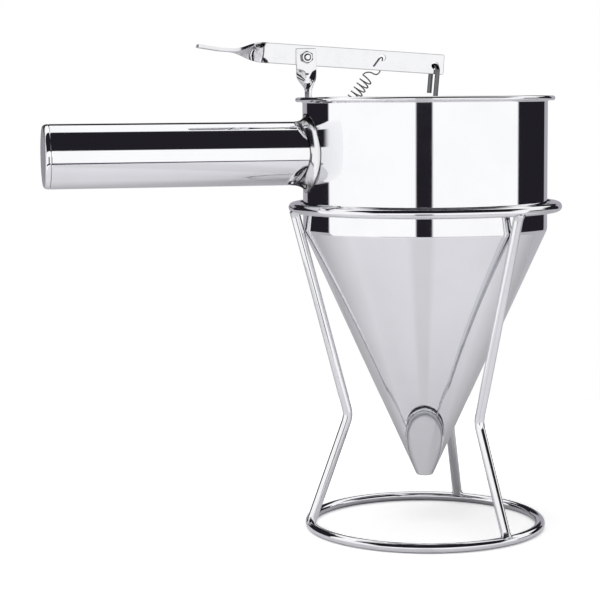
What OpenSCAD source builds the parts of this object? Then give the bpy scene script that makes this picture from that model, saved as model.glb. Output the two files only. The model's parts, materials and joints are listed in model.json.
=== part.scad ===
// Pancake batter dispenser: a funnel with a tube handle and a lever-worked ball
// valve, standing in a loose wire stand. Millimetres, +Z up. The origin is the
// middle of the stand's base ring on the table, and the handle points along -X.

/* [Funnel] */
// Outside diameter of the bowl
bowl_d = 125; // [115:1:135]
// Height of the bowl, from the rim's top to the corner above the cone
bowl_h = 67.8; // [60:0.2:90]
// Height of the cone, from that corner to the tip
cone_h = 128.3; // [115:0.1:132]
// Diameter of the cone's outline where it meets the tip's face
tip_d = 8.4; // [8:0.1:12]
// Thickness of the steel sheet
sheet = 0.8; // [0.6:0.1:1.2]
// Outside bend radius of the shoulder between bowl and cone
shoulder_r = 6; // [3:0.5:10]
// How far the rolled rim stands out from the bowl
rim_out = 3.7; // [3:0.1:5]
// Height of the rolled rim
rim_h = 2.4; // [2:0.1:3.4]
// Diameter of the outlet hole
outlet_d = 6; // [5:0.1:6.4]

/* [Handle] */
// Outside diameter of the handle tube
handle_d = 32; // [26:0.5:36]
// Length of the handle, from the bowl to its end
handle_l = 132; // [100:1:160]
// Wall thickness of the handle tube
handle_wall = 1.2; // [0.8:0.1:2]
// Drop from the rim's top to the handle's axis
handle_drop = 28.1; // [24:0.1:34]
// Length of the end cap
cap_l = 2.9; // [2:0.1:6]
// Inset of the end cap's flat face from the tube's outside
cap_inset = 1.4; // [0.8:0.1:3]
// Radius of the hollow weld fillet where the handle meets the bowl
collar_r = 4; // [2:0.1:6]

/* [Stand] */
// Diameter of the stand's wire
wire_d = 5; // [4:0.1:6]
// Gap between the bowl and the top ring round it
ring_gap = 2.5; // [1:0.1:5]
// Height of the top ring's centre line
top_ring_z = 167.3; // [155:0.1:185]
// Centre-line diameter of the base ring
base_ring_d = 120; // [100:1:150]
// Distance between the legs' waist and the axis
waist_r = 40.2; // [36:0.1:46]
// Height of the waist
waist_z = 59.8; // [45:0.1:75]
// Centre-line radius of the bend at the waist
waist_bend = 12; // [8:1:20]
// Turn of the first leg from the handle
leg_turn = -4; // [-60:1:60]

/* [Lever] */
// Height of the lever's bar, which stands on edge
bar_h = 10.2; // [8:0.1:12]
// Thickness of the bar
bar_t = 1.5; // [1.2:0.1:2.5]
// Bar length from the pivot to the rod's end
lever_front = 72.7; // [71.5:0.1:80]
// Bar length from the pivot back to the twist
lever_back = 16; // [14:0.1:30]
// Length of the quarter twist between bar and thumb pad
twist_l = 23; // [10:0.5:24]
// Length of the flat run between the twist and the thumb pad's bend
pad_run = 4.5; // [1:0.5:10]
// Length of the thumb pad
pad_l = 12.5; // [10:0.5:30]
// Downward slope of the bar towards the rod
lever_slope = 3.85; // [0:0.05:6]
// Bend of the thumb pad upwards from the bar's line
pad_bend = 5; // [0:0.1:12]
// Drop of the pivot below the bar's middle line
pivot_drop = 1; // [0:0.1:1.5]
// Distance between the pivot and the rod's hole
rod_reach = 68; // [60:0.1:68.2]
// Drop of the rod's hole below the bar's middle line
rod_drop = 0.8; // [0:0.1:1.5]
// Distance between the pivot and the spring's hole
spring_reach = 40; // [25:0.1:45]
// Rise of the spring's hole above the bar's middle line
spring_rise = 1.4; // [0:0.1:2]

/* [Bracket] */
// Width of the bracket's strip
strip_w = 10.2; // [8:0.1:13]
// Thickness of the strip
strip_t = 1.5; // [1.2:0.1:2]
// Height of the pivot above the rim's top
pivot_rise = 20; // [19:0.1:28]
// Height of the ear above the pivot
ear_top = 4.5; // [4:0.1:8]
// Depth of the ear below the pivot, down to its twist
ear_below = 5.2; // [4.6:0.1:6]
// How far the ear's middle lies outward of the strip's
ear_shift = 1.2; // [0:0.1:1.5]
// Length of the strip's quarter twist
ear_twist = 12; // [8:0.5:15]
// Drop from the rim's top to the hole that holds the spring
anchor_drop = 26.4; // [18:0.1:40]
// Diameter of the pivot bolt
bolt_d = 3; // [2.5:0.1:4]
// Width of the nut across its flats
nut_af = 5.5; // [5:0.1:7]
// Thickness of the nut
nut_h = 2.4; // [2:0.1:3.2]

/* [Valve] */
// Diameter of the pull rod's wire
rod_d = 2.4; // [2:0.1:3]
// Diameter of the valve ball
ball_d = 8; // [7.6:0.1:9]
// Drop from the lever's hole to the bend in the rod
bend_drop = 80; // [60:1:100]
// Centre-line radius of the bend in the rod
rod_bend = 20; // [8:1:30]
// Turn of the rod's hook about the rod
hook_turn = 25; // [0:1:35]
// Length of the hook's tail below its bend
tail_l = 11.5; // [6:0.5:16]

/* [Spring] */
// Outside diameter of the coils
coil_d = 6.5; // [5:0.1:7]
// Diameter of the spring's wire
spring_wire = 0.7; // [0.5:0.05:0.9]
// Number of coils
coils = 13.5; // [8.5:1:15.5]
// Distance along the axis between the spring's hole in the lever and the coils
coil_start = 13; // [10:0.5:14]
// Diameter of the spring's holes
spring_hole_d = 3.4; // [3.2:0.1:4]

/* [Clearances] */
// Side gap between neighbours on the lever's pivot and at the rod
side_gap = 0.3; // [0.2:0.05:0.5]
// Radial running gap of the lever on its bolt
bolt_gap = 0.05; // [0.02:0.01:0.1]
// Gap between the funnel and the stand's legs
seat_gap = 0.15; // [0.1:0.05:0.4]
// Gap between the ball and its seat
ball_gap = 0.15; // [0.1:0.05:0.3]

/* [Hidden] */
$fn = 96;

wire_r = wire_d / 2;
bowl_r = bowl_d / 2;
top_ring_d = bowl_d + 2 * ring_gap + wire_d;
inner_r = bowl_r - sheet;
tip_r = tip_d / 2;
cone_half_angle = atan((bowl_r - tip_r) / cone_h);
legs = 3;

// Legs, as lines in the plane through the axis: the upper one leans outwards by
// upper_lean from the waist to the top ring, the lower one by lower_lean to the base ring
leg_top = [top_ring_d / 2, top_ring_z - wire_r];
leg_waist = [waist_r, waist_z];
leg_foot = [base_ring_d / 2, wire_d];
leg_extra = wire_r * 0.55;
fuse = 0.01;
fuse_l = 0.2;
upper_lean = atan2(leg_top[0] - leg_waist[0], leg_top[1] - leg_waist[1]);
lower_lean = atan2(leg_foot[0] - leg_waist[0], leg_waist[1] - leg_foot[1]);
waist_turn = upper_lean + lower_lean;
waist_tangent = waist_bend * tan(waist_turn / 2);

// The funnel hangs by its shoulder, whose bend touches the three upper legs
shoulder_c_r = bowl_r - shoulder_r;
seat_reach = shoulder_r + wire_r + seat_gap;
shoulder_c_z = leg_top[1] + (seat_reach + (shoulder_c_r - leg_top[0]) * cos(upper_lean)) / sin(upper_lean);
corner_z = shoulder_c_z - shoulder_r * tan(cone_half_angle / 2);
rim_z = corner_z + bowl_h;
tip_z = corner_z - cone_h;

rim_r = rim_h / 2;
tip_round = 1.2;
handle_r = handle_d / 2;
handle_z = rim_z - handle_drop;
handle_end_x = -(bowl_r + handle_l);
handle_seam_x = handle_end_x + cap_l;
cap_spigot_l = 5;
cap_t = 1;
arc_steps = 8;

// The parts of the pivot lie side by side along Y: the rod in the bowl's middle
// plane, the bar beside it, and the ear on the rod's side of the bar
bar_y = rod_d / 2 + side_gap + bar_t / 2;
ear_y = bar_y - bar_t / 2 - side_gap - strip_t / 2;
ear_near_y = ear_y - strip_t / 2;

// The strip lies flat in the round bowl, so the edge that is farther out in Y touches the wall
strip_y = ear_y + ear_shift;
strip_half = strip_w / 2 + abs(strip_y);
strip_back_x = -sqrt(inner_r * inner_r - strip_half * strip_half);
strip_x = strip_back_x + strip_t / 2;
pivot = [strip_x - ear_shift, 0, rim_z + pivot_rise];
ear_bottom_z = pivot[2] - ear_below;
strip_top_z = ear_bottom_z - ear_twist;
anchor_reach = strip_t / 2 + 3.2;
anchor = [strip_x + anchor_reach, bar_y, rim_z - anchor_drop];
anchor_lug_h = 6;
strip_bottom_z = anchor[2] - anchor_lug_h / 2;

// Holes of the lever, from its pivot along its own sloping bar
rod_hole_local = [rod_reach, 0, pivot_drop - rod_drop];
spring_hole_local = [spring_reach, 0, pivot_drop + spring_rise];
function on_lever(p) = [
    pivot[0] + p[0] * cos(lever_slope) + p[2] * sin(lever_slope),
    bar_y + p[1],
    pivot[2] - p[0] * sin(lever_slope) + p[2] * cos(lever_slope)
];
rod_hole = on_lever(rod_hole_local);
spring_hole = on_lever(spring_hole_local);

// The hook's bend passes through the lever's hole at a slant, which sets the hole's size
rod_r = rod_d / 2;
hook_r = bar_y / cos(hook_turn);
slant = bar_t / 2 * tan(hook_turn) + rod_r / cos(hook_turn);
rod_hole_r = slant + side_gap;

// The ball rests on the inner edge of the outlet
ball_r = ball_d / 2;
outlet_r = outlet_d / 2;
seat_r = ball_r + ball_gap;
ball_z = tip_z + sheet + sqrt(seat_r * seat_r - outlet_r * outlet_r);

// The rod stands upright on the ball and leans over above its bend, so that the hook's
// top comes to the middle of the lever's hole
apex_x = -hook_r * sin(hook_turn);
apex_z = sqrt(rod_hole[0] * rod_hole[0] + bend_drop * bend_drop - apex_x * apex_x);
rod_lean = atan2(rod_hole[0], bend_drop) - atan2(apex_x, apex_z);
rod_bend_z = rod_hole[2] - bend_drop;
rod_tangent = rod_bend * tan(rod_lean / 2);
shank_l = apex_z - hook_r - rod_tangent;

// Bolt, nut and head
head_d = 5.6;
head_h = 1.8;
head_y = bar_y + bar_t / 2 + side_gap;
bolt_end_y = ear_near_y - nut_h - 0.8;
slot_w = 0.8;
slot_h = 0.9;
nut_turn = -6;
pad_round = 3;
corner_round = 0.8;
lug_round = 2.5;
twist_slices = 20;
twist_cells = 6;

// Spring, in its own frame: s along its axis from the anchor, v along Y, w across both
coil_r = (coil_d - spring_wire) / 2;
spring_run = [spring_hole[0] - anchor[0], 0, spring_hole[2] - anchor[2]];
spring_l = norm(spring_run);
spring_u = spring_run / spring_l;
spring_v = [0, 1, 0];
spring_w = [spring_u[2], 0, -spring_u[0]];
coil_end = spring_l - coil_start;
coil_begin = coil_start - 2.5;
coil_pitch = (coil_end - coil_begin) / coils;
hook_half = bar_t / 2 + side_gap + spring_wire / 2;
hook_slant = 40;
hook_arch = hook_half / cos(hook_slant);
hook_tail = 4.5;
curl_drop = 9;
curl_out = 1.2;
turn_steps = 14;
wire_sides = 6;
blend_steps = 12;
arch_steps = 10;

steel = [0.80, 0.81, 0.83];
polished = [0.86, 0.87, 0.89];
dark_steel = [0.62, 0.63, 0.66];

// ---------------------------------------------------------------- stand

module ring(centre_d, z) {
    translate([0, 0, z]) rotate_extrude() translate([centre_d / 2, 0]) circle(d = wire_d);
}

// Round wire along +Z that turns towards +X below its origin, with a straight run at each end.
// The bend is thicker by fuse, and the runs reach into it, so that the three are one solid.
module bent_wire(wire, upper_l, bend, turn, lower_l) {
    translate([0, 0, -fuse_l]) cylinder(d = wire, h = upper_l + fuse_l);
    translate([bend, 0, 0]) {
        rotate([90, 0, 180]) rotate([0, 0, -turn]) rotate_extrude(angle = turn)
            translate([bend, 0]) circle(r = wire / 2 + fuse);
        rotate([0, -turn, 0]) translate([-bend, 0, -lower_l]) cylinder(d = wire, h = lower_l + fuse_l);
    }
}

// One leg in the XZ plane, cut to sit against both rings
module leg() {
    upper_l = norm(leg_top - leg_waist) - waist_tangent + leg_extra;
    lower_l = norm(leg_foot - leg_waist) - waist_tangent + leg_extra;
    difference() {
        translate([leg_waist[0], 0, leg_waist[1]]) rotate([0, upper_lean, 0])
            translate([0, 0, waist_tangent]) bent_wire(wire_d, upper_l, waist_bend, waist_turn, lower_l);
        ring(top_ring_d, top_ring_z);
        ring(base_ring_d, wire_r);
    }
}

module placed_leg(index) {
    color(steel) rotate([0, 0, 180 + leg_turn + index * 360 / legs]) leg();
}

module stand_top_ring() {
    color(steel) ring(top_ring_d, top_ring_z);
}

module stand_base_ring() {
    color(steel) ring(base_ring_d, wire_r);
}

module stand_leg_handle_side() {
    placed_leg(0);
}

module stand_leg_front() {
    placed_leg(1);
}

module stand_leg_back() {
    placed_leg(2);
}

// ---------------------------------------------------------------- funnel

// Unit vector across the cone's wall, pointing out
cone_out = [cos(cone_half_angle), -sin(cone_half_angle)];
cone_down = [-sin(cone_half_angle), -cos(cone_half_angle)];
shoulder_c = [shoulder_c_r, shoulder_c_z];
seam_out = shoulder_c + shoulder_r * cone_out;
seam_in = seam_out - sheet * cone_out;

function arc(centre, r, from, to, steps) = [for (k = [0:steps])
    let (a = from + (to - from) * k / steps) centre + r * [cos(a), sin(a)]];

module bowl() {
    rim_c_z = rim_z - rim_r;
    color(polished) rotate_extrude() polygon(concat(
        arc(shoulder_c, shoulder_r, -cone_half_angle, 0, arc_steps),
        [[bowl_r, rim_z - rim_h]],
        arc([bowl_r + rim_out - rim_r, rim_c_z], rim_r, -90, 90, 2 * arc_steps),
        arc([inner_r + rim_r, rim_c_z], rim_r, 90, 180, arc_steps),
        arc(shoulder_c, shoulder_r - sheet, 0, -cone_half_angle, arc_steps)
    ));
}

module cone() {
    bottom_in = tip_r - sheet / cos(cone_half_angle) + sheet * tan(cone_half_angle);
    round_c_z = tip_z + tip_round;
    round_c_r = tip_r + tip_round * (tan(cone_half_angle) - 1 / cos(cone_half_angle));
    color(polished) rotate_extrude() polygon(concat(
        [seam_out],
        arc([round_c_r, round_c_z], tip_round, -cone_half_angle, -90, arc_steps),
        [[outlet_r, tip_z], [outlet_r, tip_z + sheet], [bottom_in, tip_z + sheet], seam_in]
    ));
}

// ---------------------------------------------------------------- handle

// Turns a shape made along +Z so that it lies along the handle, with z = 0 on the funnel's axis
module along_handle() {
    translate([0, 0, handle_z]) rotate([0, -90, 0]) children();
}

module bowl_outside() {
    translate([0, 0, corner_z]) cylinder(r = bowl_r, h = bowl_h, $fn = 192);
}

module handle_tube() {
    color(polished) difference() {
        along_handle() cylinder(d = handle_d, h = -handle_seam_x);
        along_handle() translate([0, 0, -1]) cylinder(r = handle_r - handle_wall, h = 2 - handle_seam_x);
        bowl_outside();
    }
}

module handle_end_cap() {
    seam = -handle_seam_x;
    edge = [for (k = [2 * arc_steps:-1:0]) let (a = 45 * k / arc_steps)
        [handle_r - cap_inset * (1 - cos(a)), seam + cap_l * sin(a)]];
    spigot_r = handle_r - handle_wall;
    color(dark_steel) along_handle() rotate_extrude() polygon(concat([[0, seam + cap_l]], edge, [
        [spigot_r, seam],
        [spigot_r, seam - cap_spigot_l],
        [spigot_r - cap_t, seam - cap_spigot_l],
        [spigot_r - cap_t, seam + cap_l - cap_t],
        [0, seam + cap_l - cap_t]
    ]));
}

// Hollow weld fillet round the tube, cut to the bowl's wall
module handle_collar() {
    inside_x = sqrt(bowl_r * bowl_r - pow(handle_r + collar_r, 2)) - 1;
    outside_x = bowl_r + collar_r;
    color(polished) difference() {
        along_handle() rotate_extrude() difference() {
            translate([handle_r, inside_x]) square([collar_r, outside_x - inside_x]);
            translate([handle_r + collar_r, outside_x]) circle(r = collar_r, $fn = 64);
        }
        bowl_outside();
    }
}

// ---------------------------------------------------------------- pivot

// Rectangle from the origin, its corners rounded by r[0] at the origin and on counterclockwise
module plate(size, r) {
    centres = [
        [r[0], r[0]],
        [size[0] - r[1], r[1]],
        [size[0] - r[2], size[1] - r[2]],
        [r[3], size[1] - r[3]]
    ];
    polygon([for (i = [0:3])
        each r[i] == 0 ? [centres[i]] : arc(centres[i], r[i], 180 + 90 * i, 270 + 90 * i, arc_steps)]);
}

// The same in an XZ plane, from corner, t thick about y
module upright_plate(corner, size, r, y, t) {
    translate([corner[0], y + t / 2, corner[1]]) rotate([90, 0, 0]) linear_extrude(t) plate(size, r);
}

module hole_along_y(centre, r) {
    translate([centre[0], centre[1] - bar_t * 2, centre[2]]) rotate([-90, 0, 0]) cylinder(r = r, h = bar_t * 4);
}

// Closed solid through points that run ring after ring, each ring with this even number of sides.
// Its two ends are closed by strips from side to side.
module skin(points, sides) {
    last = len(points) - sides;
    walls = [for (i = [0:sides:last - 1], k = [0:sides - 1]) let (a = i + k, b = i + (k + 1) % sides)
        each [[a, a + sides, b + sides], [a, b + sides, b]]];
    cap = [for (k = [0:sides / 2 - 2]) [k, k + 1, sides - 2 - k, sides - 1 - k]];
    polyhedron(points, concat(walls, cap, [for (f = cap) [for (k = reversed(f)) last + k]]));
}

// Quarter twist of a flat strip along +Z, about an axis that lies off the strip's middle by shift.
// It turns slowly at its ends and fast in the middle. It is thinner by fuse than the flat runs
// and reaches into them at both ends, so that they are one solid.
module quarter_twist(width, thickness, length, shift = 0) {
    half_w = width / 2 - fuse;
    half_t = thickness / 2 - fuse;
    section = [for (side = [-1, 1], k = [0:twist_cells])
        [side * half_w * (2 * k / twist_cells - 1) * -1 - shift, side * half_t]];
    steps = concat([[-fuse_l, 0]],
        [for (i = [0:twist_slices]) let (u = i / twist_slices) [length * u, 45 * (1 - cos(180 * u))]],
        [[length + fuse_l, 90]]);
    skin([for (step = steps, p = section) let (a = step[1])
        [p[0] * cos(a) + p[1] * sin(a), p[1] * cos(a) - p[0] * sin(a), step[0]]], len(section));
}

module pivot_bracket() {
    color(steel) difference() {
        union() {
            upright_plate([pivot[0] - strip_w / 2, ear_bottom_z], [strip_w, ear_below + ear_top],
                [0, 0, corner_round, corner_round], ear_y, strip_t);
            translate([strip_x, ear_y, strip_top_z]) mirror([0, 1, 0]) rotate([0, 0, 90])
                quarter_twist(strip_w, strip_t, ear_twist, ear_shift);
            translate([strip_back_x, strip_y - strip_w / 2, strip_bottom_z])
                cube([strip_t, strip_w, strip_top_z - strip_bottom_z]);
            upright_plate([strip_x, strip_bottom_z], [anchor_reach + anchor_lug_h / 2, anchor_lug_h],
                [0, lug_round, lug_round, 0], bar_y, strip_t);
        }
        hole_along_y([pivot[0], ear_y, pivot[2]], bolt_d / 2 + bolt_gap);
        hole_along_y(anchor, spring_hole_d / 2);
    }
}

module pivot_bolt() {
    color(dark_steel) translate([pivot[0], 0, pivot[2]]) difference() {
        union() {
            translate([0, bolt_end_y, 0]) rotate([-90, 0, 0]) cylinder(d = bolt_d, h = head_y - bolt_end_y);
            translate([0, head_y, 0]) rotate([-90, 0, 0]) cylinder(d = head_d, h = head_h);
        }
        translate([-head_d, head_y + head_h - slot_h, -slot_w / 2]) cube([2 * head_d, 2 * slot_h, slot_w]);
    }
}

module pivot_nut() {
    corner_r = nut_af / 2 / cos(30);
    flat_r = nut_af / 2;
    chamfer = (corner_r - flat_r) * tan(30);
    color(dark_steel) translate([pivot[0], ear_near_y, pivot[2]]) rotate([90, 0, 0]) difference() {
        intersection() {
            rotate([0, 0, nut_turn]) cylinder(r = corner_r, h = nut_h, $fn = 6);
            rotate_extrude() polygon([
                [0, 0],
                [corner_r, 0],
                [corner_r, nut_h - chamfer],
                [flat_r, nut_h],
                [0, nut_h]
            ]);
        }
        translate([0, 0, -1]) cylinder(d = bolt_d, h = nut_h + 2);
    }
}

// ---------------------------------------------------------------- lever

// Thumb pad with its flat run, from the twist's end along -X: bent as seen from the side, and
// cut to its rounded outline as seen from above
module pad() {
    reach = pad_run + pad_l * cos(pad_bend);
    rise = pad_l * sin(pad_bend);
    mitre = bar_t / 2 * tan(pad_bend / 2);
    thick = bar_t / 2 * [sin(pad_bend), cos(pad_bend)];
    intersection() {
        translate([0, bar_h / 2, 0]) rotate([90, 0, 0]) linear_extrude(bar_h) polygon([
            [0, -bar_t / 2],
            [0, bar_t / 2],
            [mitre - pad_run, bar_t / 2],
            [-reach, rise] + thick,
            [-reach, rise] - thick,
            [-mitre - pad_run, -bar_t / 2]
        ]);
        translate([-reach, -bar_h / 2, -bar_h]) linear_extrude(2 * bar_h)
            plate([2 * reach, bar_h], [pad_round, 0, 0, pad_round]);
    }
}

// The lever in its own frame: pivot at the origin, bar along X, thickness centred on Y
module lever() {
    color(steel) translate([pivot[0], bar_y, pivot[2]]) rotate([0, lever_slope, 0]) difference() {
        union() {
            upright_plate([-lever_back, pivot_drop - bar_h / 2], [lever_back + lever_front, bar_h],
                [0, corner_round, corner_round, 0], 0, bar_t);
            translate([-lever_back, 0, pivot_drop]) rotate([0, -90, 0]) quarter_twist(bar_h, bar_t, twist_l);
            translate([-lever_back - twist_l, 0, pivot_drop]) pad();
        }
        hole_along_y([0, 0, 0], bolt_d / 2 + bolt_gap);
        hole_along_y(rod_hole_local, rod_hole_r);
        hole_along_y(spring_hole_local, spring_hole_d / 2);
    }
}

// ---------------------------------------------------------------- spring

function hermite(p0, p1, m0, m1, t) =
    (2 * t * t * t - 3 * t * t + 1) * p0 + (t * t * t - 2 * t * t + t) * m0
    + (3 * t * t - 2 * t * t * t) * p1 + (t * t * t - t * t) * m1;

function coil_point(s, angle) = [s, -coil_r * cos(angle), -coil_r * sin(angle)];

// Hook seen from its end of the coils: leg on the far side, arch through the hole, tail on the near side
hook_side = [0, cos(hook_slant), sin(hook_slant)];
function hook_points(hole_s, way) = concat(
    [for (k = [0:arch_steps]) let (a = 180 * k / arch_steps)
        [hole_s - way * hook_arch, 0, 0] + hook_arch * (cos(a) * hook_side + [way * sin(a), 0, 0])],
    [[hole_s - way * (hook_arch + hook_tail), 0, 0] - hook_arch * hook_side]
);

// Wire from the coils to a hook, given by the way it leaves the one and arrives at the other
function blend_points(from, to, leaving, arriving) =
    [for (k = [1:blend_steps - 1]) hermite(from, to, leaving, arriving, k / blend_steps)];

function reversed(list) = [for (k = [len(list) - 1:-1:0]) list[k]];

coil_steps = floor(coils * turn_steps);
coil_last = 90;
coil_first = coil_last - 360 * coils;
coil_path = [for (k = [0:coil_steps]) let (t = k / coil_steps)
    coil_point(coil_begin + (coil_end - coil_begin) * t, coil_first + 360 * coils * t)];
top_hook = hook_points(spring_l, 1);
low_hook = [for (p = hook_points(0, -1)) [p[0], p[1], -p[2]]];
top_curl = [spring_l - curl_drop, hook_half, curl_out];
top_blend = concat(
    blend_points(coil_path[coil_steps], top_curl, [3, 6, 0], [1, 0, 9]),
    [top_curl],
    blend_points(top_curl, top_hook[0], [1, 0, 9], [12, 0, -9])
);
low_blend = blend_points(coil_path[0], low_hook[0], [-2, -9, 0], [-11, 0, -3]);
spring_path = concat(reversed(low_hook), reversed(low_blend), coil_path, top_blend, top_hook);

function spring_world(p) = anchor + p[0] * spring_u + p[1] * spring_v + p[2] * spring_w;
function unit(v) = v / norm(v);
function square_to(v, t) = unit(v - (v * t) * t);

// Tube of radius r along the points, closed at both ends
module tube_along(points, r, sides) {
    n = len(points);
    tangents = [for (i = [0:n - 1]) unit(points[min(i + 1, n - 1)] - points[max(i - 1, 0)])];
    first = square_to([0.3, 1, 0.2], tangents[0]);
    normals = [for (i = 0, v = first; i < n; i = i + 1, v = i < n ? square_to(v, tangents[i]) : v) v];
    skin([for (i = [0:n - 1], k = [0:sides - 1]) let (a = 360 * k / sides, b = cross(tangents[i], normals[i]))
        points[i] + r * (cos(a) * normals[i] + sin(a) * b)], sides);
}

module return_spring() {
    color(dark_steel) tube_along([for (p = spring_path) spring_world(p)], spring_wire / 2, wire_sides);
}

// ---------------------------------------------------------------- valve

// Half turn of wire from the origin, up and over towards +X, with its tail
module hook() {
    translate([hook_r, 0, 0]) {
        rotate([90, 0, 0]) rotate_extrude(angle = 180) translate([hook_r, 0]) circle(r = rod_r + fuse);
        translate([hook_r, 0, -tail_l]) cylinder(r = rod_r, h = tail_l + fuse_l);
    }
}

module pull_rod() {
    lower_l = rod_bend_z - rod_tangent - ball_z;
    color(dark_steel) difference() {
        translate([0, 0, rod_bend_z]) rotate([0, rod_lean, 0]) translate([0, 0, rod_tangent]) {
            bent_wire(rod_d, shank_l + fuse_l, rod_bend, rod_lean, lower_l);
            translate([0, 0, shank_l]) rotate([0, 0, 90 + hook_turn]) hook();
        }
        translate([0, 0, ball_z]) sphere(d = ball_d);
    }
}

module valve_ball() {
    color(dark_steel) translate([0, 0, ball_z]) sphere(d = ball_d);
}

stand_top_ring();
stand_base_ring();
stand_leg_handle_side();
stand_leg_front();
stand_leg_back();
bowl();
cone();
handle_collar();
handle_tube();
handle_end_cap();
pivot_bracket();
pivot_bolt();
pivot_nut();
lever();
return_spring();
pull_rod();
valve_ball();
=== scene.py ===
"""Pancake batter dispenser: a polished funnel with a tube handle and a lever-worked ball valve,
in its wire stand. Metres, +Z up, the handle along -X."""

import json
import math

import bmesh
import bpy
from bpy.props import FloatProperty, FloatVectorProperty, IntProperty, PointerProperty
from mathutils import Matrix, Vector


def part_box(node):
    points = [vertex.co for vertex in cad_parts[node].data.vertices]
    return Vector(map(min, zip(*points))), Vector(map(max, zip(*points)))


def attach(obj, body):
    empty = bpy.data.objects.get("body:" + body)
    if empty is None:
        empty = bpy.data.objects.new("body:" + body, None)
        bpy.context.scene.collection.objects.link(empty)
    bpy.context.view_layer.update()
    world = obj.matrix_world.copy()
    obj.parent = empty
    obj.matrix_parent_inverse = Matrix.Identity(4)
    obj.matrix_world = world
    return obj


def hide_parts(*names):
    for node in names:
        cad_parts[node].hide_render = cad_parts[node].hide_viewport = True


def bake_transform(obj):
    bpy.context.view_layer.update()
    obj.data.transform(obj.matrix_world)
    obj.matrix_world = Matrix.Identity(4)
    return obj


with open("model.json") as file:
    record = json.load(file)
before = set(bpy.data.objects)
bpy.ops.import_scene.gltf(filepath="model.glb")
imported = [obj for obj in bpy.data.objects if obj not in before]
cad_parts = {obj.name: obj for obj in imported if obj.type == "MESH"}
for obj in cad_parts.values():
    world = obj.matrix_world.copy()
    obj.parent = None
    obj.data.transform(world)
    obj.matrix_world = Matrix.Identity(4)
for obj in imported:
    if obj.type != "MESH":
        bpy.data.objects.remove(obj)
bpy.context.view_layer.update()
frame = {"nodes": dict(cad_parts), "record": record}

bl_info = {
    "name": "Batter Dispenser",
    "version": (1, 0, 0),
    "blender": (4, 5, 0),
    "location": "View3D > Sidebar > Dispenser",
    "description": "Builds a batter dispenser funnel with its lever, valve and stand",
    "category": "Add Mesh",
}

MM = 0.001

# Places that the frame gives.
JOINTS = {joint["name"]: joint for joint in frame["record"]["behaviour"]["joints"]}
PIVOT = Vector(JOINTS["lever_pivot"]["pos_m"])
ROD_PIVOT = Vector(JOINTS["rod_swing"]["pos_m"])
SPRING_FOOT = JOINTS["lever_pivot"]["deforming_nodes"][0]["fixed_end_z_m"]
RIM_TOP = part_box("bowl")[1].z
TIP_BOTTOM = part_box("cone")[0].z
HANDLE_AXIS = sum(corner.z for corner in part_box("handle_tube")) / 2
HANDLE_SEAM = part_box("handle_tube")[0].x
HANDLE_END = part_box("handle_end_cap")[0].x
BRACKET_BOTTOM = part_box("pivot_bracket")[0].z
TOP_RING_LOW, TOP_RING_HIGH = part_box("stand_top_ring")
BASE_RING_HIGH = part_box("stand_base_ring")[1]

# Places that follow from them.
BAR_Y = PIVOT.y
EAR_Y = BAR_Y - 1.8 * MM
STRIP_X = PIVOT.x + 1.2 * MM
SPRING_ANCHOR = Vector((STRIP_X + 3.95 * MM, BAR_Y, SPRING_FOOT))

NUT_TURN = math.radians(-6)
SLOT_TURN = math.radians(35)
LEG_TURN = math.radians(-4)
LEGS = 3
LEG_NODES = ("stand_leg_handle_side", "stand_leg_front", "stand_leg_back")

ALONG_X, ALONG_Y, ALONG_Z = (1, 0, 0), (0, 1, 0), (0, 0, 1)
CLEAN = 0.001 * MM  # points nearer than this are one
THROUGH = 6 * MM  # length of a drill that goes through a strip


def length(name, description, default):
    return FloatProperty(name=name, description=description, default=default, unit="LENGTH", precision=5)


def angle(name, description, degrees):
    return FloatProperty(name=name, description=description, default=math.radians(degrees), subtype="ANGLE")


def colour(name, description, default):
    return FloatVectorProperty(
        name=name, description=description, default=default, subtype="COLOR", min=0, max=1
    )


def number(name, description, default, least=0):
    return FloatProperty(name=name, description=description, default=default, min=least)


# ---------------------------------------------------------------- sizes and colours


class FunnelSizes(bpy.types.PropertyGroup):
    bowl_radius: length("Bowl Radius", "Outside radius of the bowl", 62.5 * MM)
    sheet: length("Sheet", "Thickness of the steel sheet", 0.8 * MM)
    shoulder_radius: length("Shoulder Radius", "Outside bend radius between bowl and cone", 6 * MM)
    shoulder_height: length("Shoulder Height", "Height of the middle of the shoulder's bend", 156.868 * MM)
    cone_angle: angle("Cone Angle", "Angle between the cone's wall and its axis", 24.437)
    rim_out: length("Rim Width", "How far the rolled rim stands out from the bowl", 3.7 * MM)
    rim_height: length("Rim Height", "Height of the rolled rim", 2.4 * MM)
    tip_radius: length("Tip Radius", "Radius of the cone's outline at the tip's face", 4.2 * MM)
    tip_round: length("Tip Rounding", "Outside bend radius at the tip", 1.2 * MM)
    outlet_radius: length("Outlet Radius", "Radius of the outlet hole", 3 * MM)
    steps: IntProperty(name="Steps", description="Steps of a turn round the funnel", default=288, min=32)


class HandleSizes(bpy.types.PropertyGroup):
    radius: length("Radius", "Outside radius of the handle tube", 16 * MM)
    wall: length("Wall", "Wall thickness of the handle tube", 1.2 * MM)
    weld_width: length("Weld Width", "How far the weld fillet widens the tube at the bowl", 4 * MM)
    weld_side: length("Weld at the Side", "Length of the weld fillet on the tube's sides", 3.6 * MM)
    weld_top: length("Weld at the Top", "Length of the weld fillet on top of the tube", 5.4 * MM)
    weld_under: length("Weld Underneath", "Length of the weld fillet under the tube", 7.5 * MM)
    cap_inset: length("Cap Inset", "Inset of the end cap's face from the tube's outside", 1.4 * MM)


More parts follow.
